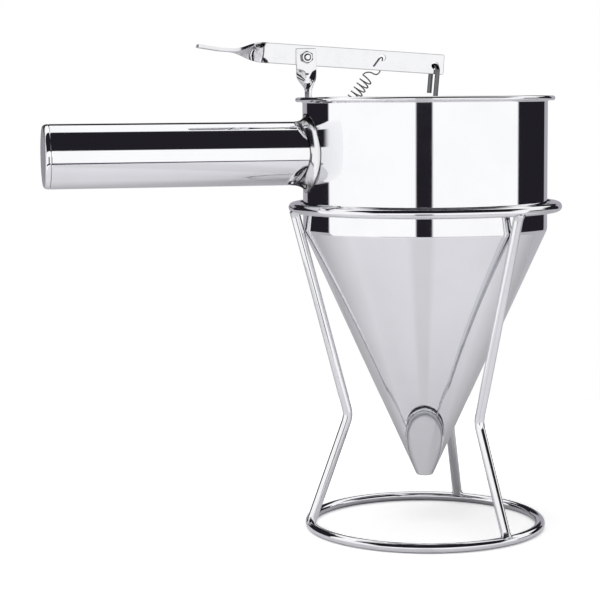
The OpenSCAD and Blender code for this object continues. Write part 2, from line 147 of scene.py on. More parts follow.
class LeverSizes(bpy.types.PropertyGroup):
    height: length("Bar Height", "Height of the bar, which stands on edge", 10.2 * MM)
    thickness: length("Thickness", "Thickness of the bar", 1.5 * MM)
    front: length("Front Length", "Bar length from the pivot to the rod's end", 72.7 * MM)
    back: length("Back Length", "Bar length from the pivot back to the twist", 16 * MM)
    twist: length("Twist Length", "Length of the quarter twist", 23 * MM)
    pad_run: length("Pad Run", "Length of the flat run between the twist and the pad's bend", 4.5 * MM)
    pad: length("Pad Length", "Length of the thumb pad from its bend", 12.5 * MM)
    pad_round: length("Pad Rounding", "Radius of the pad's corners", 3 * MM)
    pivot_drop: length("Pivot Drop", "Drop of the pivot below the bar's middle line", 1 * MM)
    slope: angle("Slope", "Downward slope of the bar towards the rod", 3.85)
    pad_bend: angle("Pad Bend", "Bend of the pad upwards from the bar's line", 5)
    rod_hole: length("Rod Hole Radius", "Radius of the hole for the rod's hook", 1.974 * MM)
    spring_reach: length("Spring Hole Distance", "Distance from the pivot to the spring's hole", 40 * MM)
    spring_rise: length("Spring Hole Rise", "Rise of the spring's hole above the pivot", 2.4 * MM)
    spring_hole: length("Spring Hole Radius", "Radius of the holes for the spring's hooks", 1.7 * MM)
    bolt_hole: length("Bolt Hole Radius", "Radius of the hole for the bolt", 1.55 * MM)
    edge: length("Edge Rounding", "Width of the rounded edge of the bar and the bracket", 0.32 * MM)
    corner: length("Corner Rounding", "Radius of the corners of the bar and the ear", 0.8 * MM)


class BracketSizes(bpy.types.PropertyGroup):
    width: length("Width", "Width of the strip", 10.2 * MM)
    thickness: length("Thickness", "Thickness of the strip", 1.5 * MM)
    ear_below: length("Ear below the Pivot", "Depth of the ear below the pivot", 5.2 * MM)
    ear_above: length("Ear above the Pivot", "Height of the ear above the pivot", 4.5 * MM)
    twist: length("Twist Length", "Length of the strip's quarter twist", 12 * MM)
    shift: length("Shift", "Offset of the strip's middle from the axis of its twist", 1.2 * MM)
    lug: length("Lug Size", "Height of the lug that holds the spring", 6 * MM)
    lug_round: length("Lug Rounding", "Radius of the lug's corners", 2.5 * MM)
    bolt_radius: length("Bolt Radius", "Radius of the pivot bolt", 1.5 * MM)
    head_radius: length("Head Radius", "Radius of the bolt's head", 2.8 * MM)
    nut_width: length("Nut Width", "Width of the nut across its flats", 5.5 * MM)
    nut_height: length("Nut Height", "Thickness of the nut", 2.4 * MM)
    pitch: length("Thread Pitch", "Pitch of the bolt's thread", 0.5 * MM)
    slot: length("Slot Width", "Width of the slot in the bolt's head", 0.8 * MM)


class SpringSizes(bpy.types.PropertyGroup):
    coil_radius: length("Coil Radius", "Centre-line radius of the coils", 2.9 * MM)
    wire_radius: length("Wire Radius", "Radius of the spring's wire", 0.35 * MM)
    coils: number("Coils", "Number of coils", 13.5, 1)
    start: length("Coil Start", "Distance between the lever's hole and the coils", 13 * MM)


class StandSizes(bpy.types.PropertyGroup):
    waist_radius: length("Waist Radius", "Distance from the axis to the bend of a leg", 40.2 * MM)
    waist_height: length("Waist Height", "Height of the bend of a leg", 59.8 * MM)


class SteelColours(bpy.types.PropertyGroup):
    polished: colour("Polished Sheet", "Mirror-polished sheet and tube", (0.86, 0.865, 0.88))
    wire: colour("Stand Wire", "Polished wire of the stand", (0.82, 0.825, 0.84))
    weld: colour("Weld", "Ground and polished weld", (0.78, 0.785, 0.80))
    cap: colour("End Cap", "Satin end cap", (0.66, 0.665, 0.68))
    strip: colour("Strip", "Cut and twisted strip", (0.81, 0.815, 0.83))
    bolt: colour("Bolt", "Bolt and nut", (0.82, 0.825, 0.84))
    spring: colour("Spring Wire", "Drawn spring wire", (0.28, 0.285, 0.30))
    rod: colour("Rod Wire", "Drawn wire of the pull rod", (0.14, 0.143, 0.15))


class StageSettings(bpy.types.PropertyGroup):
    floor: colour("Floor", "Colour of the floor", (0.895, 0.89, 0.92))
    card: colour("Dark Card", "Colour of the dark studio cards", (0.017, 0.0155, 0.021))
    grey_card: colour("Grey Card", "Colour of the grey cards behind the object", (0.42, 0.40, 0.45))
    skirt: colour("Skirt", "Colour of the walls below the floor's edge", (0.50, 0.49, 0.52))
    horizon: colour("Horizon", "Colour of the thin line in front of the floor", (0.07, 0.06, 0.09))
    glow: number("Studio Glow", "Brightness of the white studio walls", 1.12)
    floor_glow: number("Floor Glow", "Light of its own that the camera sees on the floor", 0.4)
    lamp_power: number("Lamp Power", "Power of the overhead lamp", 14)
    lens: number("Lens", "Focal length of the camera in millimetres", 108.78, 1)


# ---------------------------------------------------------------- modelling helpers


def deselect_all():
    if bpy.context.mode != "OBJECT":
        bpy.ops.object.mode_set(mode="OBJECT")
    bpy.ops.object.select_all(action="DESELECT")


def activate(piece):
    deselect_all()
    piece.select_set(True)
    bpy.context.view_layer.objects.active = piece


def apply_place(piece):
    """Puts the object at the origin, unturned and unscaled, with its place in its mesh."""
    activate(piece)
    bpy.ops.object.transform_apply(location=True, rotation=True, scale=True)


def finish_piece(piece, body, slot, *nodes, smooth_angle=35):
    apply_place(piece)
    bpy.ops.object.shade_smooth_by_angle(angle=math.radians(smooth_angle))
    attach(piece, body)
    if nodes:
        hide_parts(*nodes)


def apply_modifier(piece, kind, **options):
    activate(piece)
    modifier = piece.modifiers.new(kind.title(), kind)
    for name, value in options.items():
        setattr(modifier, name, value)
    bpy.ops.object.modifier_apply(modifier=modifier.name)


def soften_edges(piece, width, segments, sharper_than):
    """Rounds the edges that turn by more than an angle in degrees."""
    limit = math.radians(sharper_than)
    apply_modifier(piece, "BEVEL", width=width, segments=segments, limit_method="ANGLE", angle_limit=limit)


def cut(piece, cutter, operation="DIFFERENCE"):
    """Boolean with a second piece, which is then removed."""
    apply_modifier(piece, "BOOLEAN", object=cutter, operation=operation, solver="EXACT")
    bpy.data.objects.remove(cutter)


def drill(piece, name, radius, place):
    """Cuts a round hole through a strip that stands across Y."""
    cut(piece, cylinder(name, radius, THROUGH, place, ALONG_Y))


def weigh_normals(piece):
    """Lets the large flat faces set the shading at their edges."""
    apply_modifier(piece, "WEIGHTED_NORMAL", keep_sharp=True, weight=100, mode="FACE_AREA")


def select_by(kind, test):
    """In edit mode, selects the faces or edges whose middle passes the test, and nothing else."""
    bpy.ops.mesh.select_mode(type=kind)
    bpy.ops.mesh.select_all(action="DESELECT")
    mesh = bmesh.from_edit_mesh(bpy.context.edit_object.data)
    parts = mesh.faces if kind == "FACE" else mesh.edges
    for part in parts:
        middle = sum((corner.co for corner in part.verts), Vector()) / len(part.verts)
        part.select_set(test(part, middle))
    bmesh.update_edit_mesh(bpy.context.edit_object.data)


def turn_selection(degrees, axis, centre):
    """Right-handed turn about an axis. Without a window the operator turns the other way."""
    bpy.ops.transform.rotate(
        value=math.radians(-degrees), orient_axis=axis, orient_type="GLOBAL", center_override=centre
    )


def extrude_selection(step):
    bpy.ops.mesh.extrude_region_move(TRANSFORM_OT_translate={"value": step})


def draw_line(name, points, closed=False):
    """Draws a line of edges, one extruded point after another, and stays in edit mode."""
    deselect_all()
    bpy.ops.mesh.primitive_plane_add(size=MM, enter_editmode=True)
    piece = bpy.context.object
    piece.name = name
    piece.data.name = name
    bpy.ops.mesh.select_mode(type="VERT")
    bpy.ops.mesh.select_all(action="SELECT")
    bpy.ops.mesh.merge(type="CENTER")
    bpy.ops.transform.translate(value=points[0])
    path = list(points) + ([points[0]] if closed else [])
    for start, end in zip(path, path[1:]):
        extrude_selection(Vector(end) - Vector(start))
    bpy.ops.mesh.select_all(action="SELECT")
    if closed:
        bpy.ops.mesh.remove_doubles(threshold=CLEAN)
    return piece


def spun(name, outline, steps, axis=ALONG_Z, centre=(0, 0, 0), closed=True):
    """Spins an outline once round an axis into a closed shell."""
    piece = draw_line(name, outline, closed)
    bpy.ops.mesh.spin(steps=steps, angle=2 * math.pi, center=centre, axis=axis)
    bpy.ops.mesh.select_all(action="SELECT")
    bpy.ops.mesh.remove_doubles(threshold=CLEAN)
    bpy.ops.mesh.normals_make_consistent(inside=False)
    bpy.ops.object.mode_set(mode="OBJECT")
    return piece


def arc(centre, radius, start, end, steps):
    """Points of an arc in a plane, by angles in degrees."""
    turns = [math.radians(start + (end - start) * k / steps) for k in range(steps + 1)]
    return [(centre[0] + radius * math.cos(t), centre[1] + radius * math.sin(t)) for t in turns]


def with_margins(outline, margin=0.25 * MM, longest=1.5 * MM):
    """Adds points near both ends of the long runs, so that they shade straight."""
    points = []
    for start, end in zip(outline, outline[1:] + outline[:1]):
        start, end = Vector(start), Vector(end)
        points.append(start)
        if (end - start).length > longest:
            step = (end - start).normalized() * margin
            points += [start + step, end - step]
    return points


def cylinder(name, radius, depth, place, direction, vertices=64):
    deselect_all()
    bpy.ops.mesh.primitive_cylinder_add(vertices=vertices, radius=radius, depth=depth, location=place)
    piece = bpy.context.object
    piece.name = name
    piece.rotation_euler = Vector(direction).to_track_quat("Z", "Y").to_euler()
    apply_place(piece)
    return piece


# ---------------------------------------------------------------- materials


def math_node(tree, operation, *values):
    """Adds a Math node, fed by numbers or by the outputs of other nodes."""
    node = tree.nodes.new("ShaderNodeMath")
    node.operation = operation
    for socket, value in zip(node.inputs, values):
        if isinstance(value, (int, float)):
            socket.default_value = value
        else:
            tree.links.new(value, socket)
    return node.outputs[0]


def mix_node(tree, kind, factor, first, second):
    """Adds a Mix node of kind Float or Color, fed by values or by the outputs of other nodes."""
    node = tree.nodes.new("ShaderNodeMix")
    node.data_type = {"Float": "FLOAT", "Color": "RGBA"}[kind]
    sockets = {socket.identifier: socket for socket in (*node.inputs, *node.outputs)}
    for name, value in (("Factor_Float", factor), (f"A_{kind}", first), (f"B_{kind}", second)):
        if isinstance(value, bpy.types.NodeSocket):
            tree.links.new(value, sockets[name])
        else:
            sockets[name].default_value = (*value, 1) if kind == "Color" else value
    return sockets[f"Result_{kind}"]


class Finish:
    """A procedural material: a Principled shader with nodes chained to it."""

    def __init__(self, name):
        self.material = bpy.data.materials.new(name)
        self.material.use_nodes = True
        self.tree = self.material.node_tree
        self.shader = self.tree.nodes["Principled BSDF"]
        self.place = self.node("ShaderNodeTexCoord").outputs["Object"]

    def node(self, kind):
        return self.tree.nodes.new(kind)

    def link(self, source, target):
        self.tree.links.new(source, target)

    def math(self, operation, *values):
        return math_node(self.tree, operation, *values)

    def offsets(self, origin):
        """The three distances of a place on the piece from an origin."""
        split = self.node("ShaderNodeSeparateXYZ")
        self.link(self.place, split.inputs["Vector"])
        return [self.math("SUBTRACT", part, start) for part, start in zip(split.outputs, origin)]

    def radius(self, first, second):
        squares = [self.math("MULTIPLY", part, part) for part in (first, second)]
        return self.math("SQRT", self.math("ADD", *squares))

    def noise(self, scale, detail=3.0, stretch=(1, 1, 1), roughness=0.5):
        """Noise over the piece, in Object coordinates, stretched along its axes."""
        mapping = self.node("ShaderNodeMapping")
        mapping.inputs["Scale"].default_value = stretch
        self.link(self.place, mapping.inputs["Vector"])
        texture = self.node("ShaderNodeTexNoise")
        texture.inputs["Scale"].default_value = scale
        texture.inputs["Detail"].default_value = detail
        texture.inputs["Roughness"].default_value = roughness
        self.link(mapping.outputs["Vector"], texture.inputs["Vector"])
        return texture.outputs["Fac"]

    def spread(self, source, low, high, start=0.35, end=0.65):
        """Maps a texture's middle range to low and high."""
        remap = self.node("ShaderNodeMapRange")
        remap.inputs["From Min"].default_value = start
        remap.inputs["From Max"].default_value = end
        remap.inputs["To Min"].default_value = low
        remap.inputs["To Max"].default_value = high
        self.link(source, remap.inputs["Value"])
        return remap.outputs["Result"]

    def tint(self, source, first, second):
        return mix_node(self.tree, "Color", source, first, second)

    def bump(self, source, depth, strength=1.0, under=None):
        bump = self.node("ShaderNodeBump")
        bump.inputs["Strength"].default_value = strength
        bump.inputs["Distance"].default_value = depth
        self.link(source, bump.inputs["Height"])
        if under:
            self.link(under, bump.inputs["Normal"])
        return bump.outputs["Normal"]

    def use(self, colour, roughness, normal):
        self.shader.inputs["Metallic"].default_value = 1
        self.link(colour, self.shader.inputs["Base Color"])
        self.link(roughness, self.shader.inputs["Roughness"])
        self.link(normal, self.shader.inputs["Normal"])
        return self.material


def darker(tone, factor):
    return tuple(part * factor for part in tone)


def polished_steel(name, tone, lines=(1, 1, 40), gloss=(0.025, 0.075), wave=0.05):
    """Mirror polish with faint smudges, fine lines along the spin and a slight wave in the sheet."""
    finish = Finish(name)
    smudge = finish.noise(22, 4, roughness=0.6)
    line = finish.noise(60, 3, lines)
    sheet = finish.noise(14, 1)
    roughness = finish.spread(smudge, *gloss, 0.4, 0.72)
    tint = finish.tint(finish.spread(smudge, 0, 1, 0.45, 0.75), tone, darker(tone, 0.955))
    normal = finish.bump(line, 0.004 * MM, 0.5)
    normal = finish.bump(sheet, wave * MM, 1.0, normal)
    return finish.use(tint, roughness, normal)


def drawn_steel(name, tone, lines=(1, 1, 1), gloss=(0.08, 0.18), depth=0.006, scale=900, shade=0.85):
    """Drawn or brushed steel, with grain along one way and small dull spots."""
    finish = Finish(name)
    grain = finish.noise(scale, 4, lines, 0.6)
    spots = finish.noise(140, 4, roughness=0.7)
    roughness = finish.spread(spots, *gloss, 0.4, 0.7)
    tint = finish.tint(finish.spread(spots, 0, 1, 0.5, 0.8), tone, darker(tone, shade))
    normal = finish.bump(grain, depth * MM, 0.8)
    return finish.use(tint, roughness, normal)


def weld_steel(name, tone):
    """Ground weld: a soft ripple, dull between polished crests."""
    finish = Finish(name)
    ripple = finish.noise(420, 3, roughness=0.55)
    cloud = finish.noise(90, 3)
    roughness = finish.spread(cloud, 0.10, 0.28, 0.35, 0.7)
    tint = finish.tint(finish.spread(cloud, 0, 1, 0.45, 0.75), tone, darker(tone, 0.86))
    normal = finish.bump(ripple, 0.05 * MM, 0.8)
    return finish.use(tint, roughness, normal)


def ground_weld(name, tone, inner, outer):
    """Weld ground along its run and polished over, scorched on top and below, with dark toes."""
    finish = Finish(name)
    _, side, up = finish.offsets((0, 0, HANDLE_AXIS))
    radius = finish.radius(side, up)
    toe = finish.spread(radius, 0, 1, outer - 0.55 * MM, outer - 0.15 * MM)
    root = finish.spread(radius, 1, 0, inner + 0.02 * MM, inner + 0.12 * MM)
    border = finish.math("MAXIMUM", toe, root)
    streak = finish.noise(260, 4, (2.5, 1, 0.25), 0.6)
    level = finish.spread(finish.math("ABSOLUTE", up), 0, 1, 0.55 * outer, 0.8 * outer)
    heat = finish.math("MULTIPLY", level, finish.spread(streak, 0.35, 1, 0.4, 0.6))
    roughness = finish.spread(streak, 0.06, 0.22, 0.35, 0.7)
    tint = finish.tint(finish.math("MAXIMUM", border, heat), tone, darker(tone, 0.16))
    return finish.use(tint, roughness, finish.bump(streak, 0.03 * MM, 0.8))


def steel_with_painted_edge_reflection(name, tone, start, end):
    """Bright turned steel with a dark ring painted round the pivot's axis, where its edges are: a painted
    reflection of the dark surroundings on the edges.
    """
    finish = Finish(name)
    ahead, _, above = finish.offsets(PIVOT)
    radius = finish.radius(ahead, above)
    rise = finish.spread(radius, 0, 1, start, start + 0.15 * MM)
    fall = finish.spread(radius, 1, 0, end, end + 0.1 * MM)
    grain = finish.noise(900, 4, roughness=0.6)
    # painted reflection: the tone is darkened to a fifth in the ring between start and end
    tint = finish.tint(finish.math("MULTIPLY", rise, fall), tone, darker(tone, 0.2))
    return finish.use(tint, finish.spread(grain, 0.06, 0.14), finish.bump(grain, 0.004 * MM, 0.8))


def lever_steel_with_painted_edge_lines(name, tone, size):
    """Bright lever strip, dull along its edges and at its front end, where dark lines are also painted: a
    painted reflection of the dark roof on the bevels.
    """
    finish = Finish(name)
    ahead, aside, above = finish.offsets((PIVOT.x, BAR_Y, PIVOT.z))
    cosine, sine = math.cos(size.slope), math.sin(size.slope)

    def times(source, factor):
        return finish.math("MULTIPLY", source, factor)

    along = finish.math("SUBTRACT", times(ahead, cosine), times(above, sine))
    rise = finish.math("ADD", times(above, cosine), times(ahead, sine))
    radius = finish.radius(aside, finish.math("SUBTRACT", rise, size.pivot_drop))
    edge = size.height / 2 - size.edge
    # painted reflection: dark lines along the bar's rounded edges, weaker towards the twist, and across its
    # front end
    bar = finish.spread(along, 0.2, 1, -size.back - size.twist, -size.back)
    sides = times(bar, finish.spread(radius, 0, 1, edge - 0.02 * MM, edge + 0.06 * MM))
    end = finish.spread(along, 0, 1, size.front - 0.34 * MM, size.front - 0.26 * MM)
    painted_edge_lines = finish.math("MAXIMUM", sides, end)
    grain = finish.noise(500, 4, (0.5, 6, 6), 0.6)
    spots = finish.noise(140, 4, roughness=0.7)
    roughness = finish.math("ADD", finish.spread(spots, 0.05, 0.12, 0.4, 0.7), times(painted_edge_lines, 0.15))
    worn = times(finish.spread(spots, 0, 1, 0.5, 0.8), 0.15)
    # the painted edge lines darken the tone; the worn spots are random wear
    tint = finish.tint(finish.math("MAXIMUM", worn, painted_edge_lines), tone, darker(tone, 0.55))
    return finish.use(tint, roughness, finish.bump(grain, 0.006 * MM, 0.8))


def capped_steel(name, tone, polished):
    """Satin face, brushed across, that turns into a polished shoulder towards the seam."""
    finish = Finish(name)
    depth = finish.offsets((HANDLE_END, 0, 0))[0]
    shoulder = finish.spread(depth, 0, 1, 0.15 * MM, 0.9 * MM)
    grain = finish.noise(300, 4, (1, 6, 0.5), 0.6)
    roughness = mix_node(finish.tree, "Float", shoulder, finish.spread(grain, 0.20, 0.34), 0.05)
    tint = finish.tint(shoulder, tone, polished)
    return finish.use(tint, roughness, finish.bump(grain, 0.006 * MM, 0.6))


def dress(piece, material):
    piece.data.materials.clear()
    piece.data.materials.append(material)


def settings():
    return bpy.context.scene.dispenser


# ---------------------------------------------------------------- funnel


def funnel_outline(size):
    """Closed outline of the funnel's wall, from the outlet up the outside and down the inside."""
    lean = math.degrees(size.cone_angle)
    across = Vector((math.cos(size.cone_angle), -math.sin(size.cone_angle)))
    bend = (size.bowl_radius - size.shoulder_radius, size.shoulder_height)
    inner = size.bowl_radius - size.sheet
    seam_in = Vector(bend) + (size.shoulder_radius - size.sheet) * across
    bead = size.rim_height / 2
    bead_z = RIM_TOP - bead
    cone_slope = math.tan(size.cone_angle)
    slant = math.cos(size.cone_angle)
    tip_centre = (
        size.tip_radius + size.tip_round * (cone_slope - 1 / slant),
        TIP_BOTTOM + size.tip_round,
    )
    lip_z = TIP_BOTTOM + size.sheet
    lip_r = size.tip_radius - size.sheet / slant + size.sheet * cone_slope
    nook = 0.7 * MM
    burr = 0.25 * MM
    burr_r = size.outlet_radius + burr
    outline = (
        arc(tip_centre, size.tip_round, -90, -lean, 12)
        + arc(bend, size.shoulder_radius, -lean, 0, 18)
        + arc((size.bowl_radius + nook, RIM_TOP - size.rim_height - nook), nook, 180, 90, 8)
        + arc((size.bowl_radius + size.rim_out - bead, bead_z), bead, -90, 90, 24)
        + arc((inner + bead, bead_z), bead, 90, 180, 14)
        + arc(bend, size.shoulder_radius - size.sheet, 0, -lean, 18)
        + [(seam_in.x, seam_in.y), (lip_r, lip_z)]
        + arc((burr_r, lip_z - burr), burr, 90, 180, 6)
        + arc((burr_r, TIP_BOTTOM + burr), burr, 180, 270, 6)
    )
    clean = [outline[0]]
    for point in outline[1:]:
        if (Vector(point) - Vector(clean[-1])).length > 2 * CLEAN:
            clean.append(point)
    return with_margins(clean)


class DISPENSER_OT_funnel(bpy.types.Operator):
    """Spins the polished funnel with its rolled rim, shoulder, cone and outlet"""

    bl_idname = "dispenser.funnel"
    bl_label = "Funnel"

    def execute(self, context):
        size = settings().funnel
        outline = [(point[0], 0, point[1]) for point in funnel_outline(size)]
        shell = spun("funnel_shell", outline, size.steps)
        finish_piece(shell, "funnel", "funnel_steel", "bowl", "cone")
        dress(shell, polished_steel("Polished Funnel Sheet", settings().steel.polished))
        return {"FINISHED"}


FILLET_ZONE = 10 * MM  # length of the tube's end that is fitted to the bowl
FILLET_PROUD = 0.10 * MM
FILLET_EDGE = 0.25 * MM
FILLET_ROOT = 0.3 * MM
HANDLE_STEPS = 160


def around_handle(name, outline, steps):
    """Spins an outline of places along the handle and radii round the handle's axis."""
    points = [(x, 0, HANDLE_AXIS + radius) for x, radius in outline]
    return spun(name, points, steps, ALONG_X, (0, 0, HANDLE_AXIS))


class DISPENSER_OT_handle(bpy.types.Operator):
    """Makes the handle tube and the ground weld fillet that joins it to the bowl"""

    bl_idname = "dispenser.handle"
    bl_label = "Handle"

    def execute(self, context):
        size = settings().handle
        self.tube(size)
        self.fillet(size)
        return {"FINISHED"}

    def tube(self, size):
        inside = size.radius - size.wall
        edge = 0.30 * MM
        outline = [
            (HANDLE_SEAM + 0.25 * MM, inside),
            (HANDLE_SEAM, inside + 0.2 * MM),
            (HANDLE_SEAM, size.radius - edge),
            (HANDLE_SEAM + 0.3 * edge, size.radius - 0.3 * edge),
            (HANDLE_SEAM + edge, size.radius),
            (HANDLE_SEAM + 0.7 * MM, size.radius),
            (self.along(-0.3), size.radius),
            (self.along(-0.2), size.radius),
            (self.along(1.05), size.radius),
            (self.along(1.05), inside),
            (self.along(-0.2), inside),
        ]
        tube = around_handle("handle_tube_polished", outline, HANDLE_STEPS)
        self.fit_to_bowl(tube, size)
        finish_piece(tube, "funnel", "handle_steel", "handle_tube")
        tone = settings().steel.polished
        dress(tube, polished_steel("Polished Handle Tube", tone, (40, 1, 1), (0.03, 0.085), 0.02))

    def fillet(self, size):
        steps = 20
        inner = size.radius + FILLET_PROUD
        outer = size.radius + size.weld_width
        outline = [(self.along(0), size.radius - FILLET_ROOT)]
        for k in range(steps + 1):
            turn = math.pi / 2 * k / steps
            outline.append((self.along(k / steps), inner + (outer - inner) * (1 - math.cos(turn))))
        outline.append((self.along(1.05), outer))
        outline.append((self.along(1.05), size.radius - FILLET_ROOT))
        weld = around_handle("weld_fillet", outline, HANDLE_STEPS)
        self.fit_to_bowl(weld, size)
        finish_piece(weld, "funnel", "weld_steel", "handle_collar")
        dress(weld, ground_weld("Ground Weld Fillet", settings().steel.weld, inner, outer))

    def along(self, share):
        """Place along the handle, from 0 where the fillet starts to 1 at the bowl's wall."""
        return -settings().funnel.bowl_radius - FILLET_ZONE * (1 - share)

    def fit_to_bowl(self, piece, size):
        """Moves the end so that it follows the round wall, with the fillet longest underneath."""
        bowl = settings().funnel.bowl_radius
        for vertex in piece.data.vertices:
            place = vertex.co
            share = (place.x - self.along(0)) / FILLET_ZONE
            if share < -0.25:
                continue
            radius = math.hypot(place.y, place.z - HANDLE_AXIS)
            level = (place.z - HANDLE_AXIS) / radius
            most = size.weld_top if level > 0 else size.weld_under
            reach = size.weld_side + (most - size.weld_side) * level * level
            wall = -math.sqrt(bowl * bowl - place.y * place.y)
            if share <= 0:
                place.x = wall - reach + share * FILLET_ZONE
            elif share > 1.01:
                place.x = wall + FILLET_EDGE
            else:
                rise = 1 - math.sin(math.pi / 2 * share)
                place.x = wall - FILLET_EDGE - (reach - FILLET_EDGE) * rise


class DISPENSER_OT_end_cap(bpy.types.Operator):
    """Spins the satin end cap with its rounded shoulder and the groove at its seam"""

    bl_idname = "dispenser.end_cap"
    bl_label = "End Cap"

    def execute(self, context):
        size = settings().handle
        inside = size.radius - size.wall
        groove = 0.3 * MM
        gap = 0.02 * MM
        dish = 0.03 * MM
        skirt = 5 * MM
        sheet = 1 * MM
        outline = [
            (HANDLE_SEAM + skirt, inside),
            (HANDLE_SEAM - gap, inside),
            (HANDLE_SEAM - gap, size.radius - 0.45 * MM),
            (HANDLE_SEAM - groove * 0.4, size.radius - 0.14 * MM),
            (HANDLE_SEAM - groove, size.radius - gap),
        ]
        steps = 16
        shoulder = HANDLE_SEAM - groove
        for k in range(1, steps + 1):
            turn = math.pi / 2 * k / steps
            place = shoulder - (shoulder - HANDLE_END) * math.sin(turn)
            outline.append((place, size.radius - size.cap_inset * (1 - math.cos(turn))))
        outline += [
            (HANDLE_END, size.radius - size.cap_inset - 0.3 * MM),
            (HANDLE_END, size.radius / 2),
            (HANDLE_END + dish, 0.3 * MM),
            (HANDLE_END + dish, 0),
            (HANDLE_END + sheet, 0),
            (HANDLE_END + sheet, inside - sheet),
            (HANDLE_SEAM + skirt, inside - sheet),
        ]
        cap = around_handle("handle_end_cap_turned", outline, 128)
        finish_piece(cap, "funnel", "cap_steel", "handle_end_cap")
        dress(cap, capped_steel("Satin End Cap", settings().steel.cap, settings().steel.polished))
        return {"FINISHED"}


# ---------------------------------------------------------------- pivot and lever


NEAR = 0.01 * MM
STRIP_ROWS = 8


def strip_bar(name, low, high, across, rows):
    """A flat bar from a cube, its width divided into rows so that a twist shades smoothly."""
    deselect_all()
    middle = (Vector(low) + Vector(high)) / 2
    bpy.ops.mesh.primitive_cube_add(size=1, location=middle)
    piece = bpy.context.object
    piece.name = name
    piece.data.name = name
    piece.scale = Vector(high) - Vector(low)
    apply_place(piece)
    bpy.ops.object.mode_set(mode="EDIT")
    index = "XYZ".index(across)
    normal = [0, 0, 0]
    normal[index] = 1
    for k in range(1, rows):
        place = list(middle)
        place[index] = low[index] + (high[index] - low[index]) * k / rows
        bpy.ops.mesh.select_all(action="SELECT")
        bpy.ops.mesh.bisect(plane_co=place, plane_no=normal)
    return piece


def at(value, place):
    """Whether two lengths are the same, but for rounding."""
    return abs(value - place) < 5 * NEAR


def round_corners(at_corner, radius, segments=8):
    """Rounds the edges across the strip's thickness whose middle is at a corner."""
    half = settings().lever.thickness / 2

    def crosses(edge):
        return abs(edge.verts[0].co.y - edge.verts[1].co.y) > half

    select_by("EDGE", lambda edge, middle: at_corner(middle) and crosses(edge))
    bpy.ops.mesh.bevel(offset=radius, segments=segments, affect="EDGES")
    bpy.ops.object.mode_set(mode="OBJECT")


def quarter_twist(run, steps=36):
    """Steps of a quarter twist, each a length and a turn in degrees, slow at both ends."""
    angles = [45 * (1 - math.cos(math.pi * k / steps)) for k in range(steps + 1)]
    return [(run / steps, after - before) for before, after in zip(angles, angles[1:])]


class DISPENSER_OT_bracket(bpy.types.Operator):
    """Makes the twisted strip bracket with its ear and the lug that holds the spring"""

    bl_idname = "dispenser.bracket"
    bl_label = "Bracket"

    def execute(self, context):
        size = settings().bracket
        lever = settings().lever
        half = size.thickness / 2
        strip_y = EAR_Y + size.shift
        ear_low = PIVOT.z - size.ear_below
        ear_high = PIVOT.z + size.ear_above
        low = (STRIP_X - half, strip_y - size.width / 2, BRACKET_BOTTOM)
        high = (STRIP_X + half, strip_y + size.width / 2, ear_low - size.twist)
        strip = strip_bar("twisted_bracket", low, high, "Y", STRIP_ROWS)
        select_by("FACE", lambda face, middle: face.normal.z > 0.9)
        for rise, turn in quarter_twist(size.twist):
            extrude_selection((0, 0, rise))
            turn_selection(turn, "Z", (STRIP_X, EAR_Y, 0))
        extrude_selection((0, 0, ear_high - ear_low))
        round_corners(
            lambda middle: middle.z > ear_high - NEAR and at(abs(middle.x - PIVOT.x), size.width / 2),
            lever.corner,
        )
        soften_edges(strip, lever.edge, 3, 60)
        cut(strip, self.lug(size), "UNION")
        drill(strip, "bolt_hole", lever.bolt_hole, (PIVOT.x, EAR_Y, PIVOT.z))
        drill(strip, "hook_hole", lever.spring_hole, SPRING_ANCHOR)
        finish_piece(strip, "funnel", "strip_steel", "pivot_bracket")
        weigh_normals(strip)
        tone = settings().steel.strip
        dress(strip, drawn_steel("Bright Bracket Strip", tone, (6, 6, 0.5), (0.05, 0.13), 0.008, 500, 0.9))
        return {"FINISHED"}

    def lug(self, size):
        """Rounded lug for the spring's lower hook, standing on edge at the bottom of the strip."""
        half = size.thickness / 2
        end_x = SPRING_ANCHOR.x + size.lug / 2
        low = (STRIP_X, SPRING_ANCHOR.y - half, SPRING_ANCHOR.z - size.lug / 2)
        high = (end_x, SPRING_ANCHOR.y + half, SPRING_ANCHOR.z + size.lug / 2)
        lug = strip_bar("spring_lug", low, high, "X", 2)
        round_corners(lambda middle: middle.x > end_x - NEAR, size.lug_round, 12)
        soften_edges(lug, settings().lever.edge / 2, 2, 60)
        return lug


